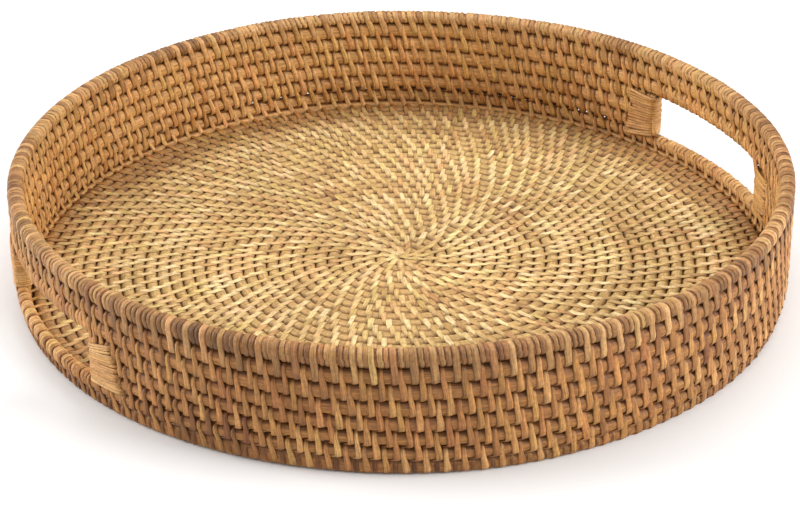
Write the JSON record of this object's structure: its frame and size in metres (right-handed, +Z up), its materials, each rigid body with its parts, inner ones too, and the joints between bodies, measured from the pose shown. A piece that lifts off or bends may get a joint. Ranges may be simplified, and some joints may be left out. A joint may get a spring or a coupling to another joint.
{
  "type": "serving tray",
  "caption": "Round serving tray of coiled and lashed rattan cane with a low upright wall and a hand opening on each of two opposite sides.",
  "frame": {"origin": "centre of the tray in plan, at the plane its lowest row stands on", "axes": "+Z up out of the tray, +X through the middle of the right hand opening, -X through the left one, -Y the front"},
  "size_m": [0.35, 0.35, 0.0569],
  "materials": {
    "floor_rattan": "satin natural cane, pale golden",
    "wall_rattan": "satin natural cane, honey brown",
    "binding_rattan": "smooth split cane skin, slight sheen"
  },
  "bodies": {
    "root": {"floor_start_knot": "floor_rattan", "floor_coil_1": "floor_rattan", "floor_coil_2": "floor_rattan", "floor_coil_3": "floor_rattan", "floor_coil_4": "floor_rattan", "floor_coil_5": "floor_rattan", "foot_coil": "wall_rattan", "sill_coil": "wall_rattan", "wall_coil_row_4_back": "wall_rattan", "wall_coil_row_4_front": "wall_rattan", "wall_coil_row_5_back": "wall_rattan", "wall_coil_row_5_front": "wall_rattan", "wall_coil_row_6_back": "wall_rattan", "wall_coil_row_6_front": "wall_rattan", "grip_coil_lower": "wall_rattan", "grip_coil_upper": "wall_rattan", "rim_core": "wall_rattan", "rim_binding": "binding_rattan", "sill_binding_left": "binding_rattan", "sill_binding_right": "binding_rattan", "grip_binding_left": "binding_rattan", "grip_binding_right": "binding_rattan", "handle_end_wrap_left_back": "binding_rattan", "handle_end_wrap_left_front": "binding_rattan", "handle_end_wrap_right_back": "binding_rattan", "handle_end_wrap_right_front": "binding_rattan"}
  },
  "joints": []
}
